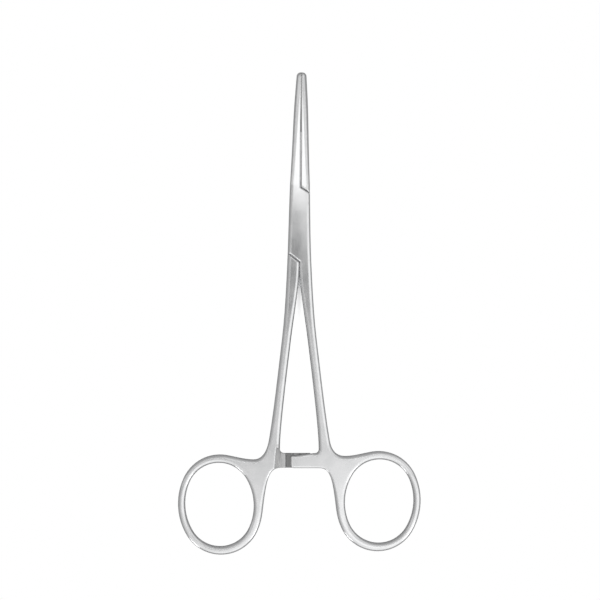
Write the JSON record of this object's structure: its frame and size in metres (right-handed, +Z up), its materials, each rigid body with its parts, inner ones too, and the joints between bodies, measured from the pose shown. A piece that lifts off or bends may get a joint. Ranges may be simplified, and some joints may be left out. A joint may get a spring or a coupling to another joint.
{
  "type": "hemostat forceps",
  "caption": "Straight ring-handled forceps with serrated jaws, a riveted box lock and a toothed ratchet that holds the jaws shut on a vessel.",
  "frame": {"origin": "middle of the bottom of the bounding box, on the plane that the back of the box lock lies on", "axes": "+Y along the instrument towards the jaw tips, +X towards the ring of the box half, +Z up through the pin and out of the front"},
  "size_m": [0.0704, 0.14, 0.0046],
  "materials": {
    "box_half": "satin",
    "through_half": "satin",
    "pivot_pin": "ground satin"
  },
  "bodies": {
    "box_side": {"box_half": "box_half", "pivot_pin": "pivot_pin"},
    "through_side": {"through_half": "through_half"}
  },
  "joints": [
    {"name": "jaw_pivot", "type": "hinge", "parent": "box_side", "child": "through_side", "pos_m": [0, 0.0259, 0.0023], "axis": [0, 0, -1], "range_deg": [0, 60]}
  ]
}
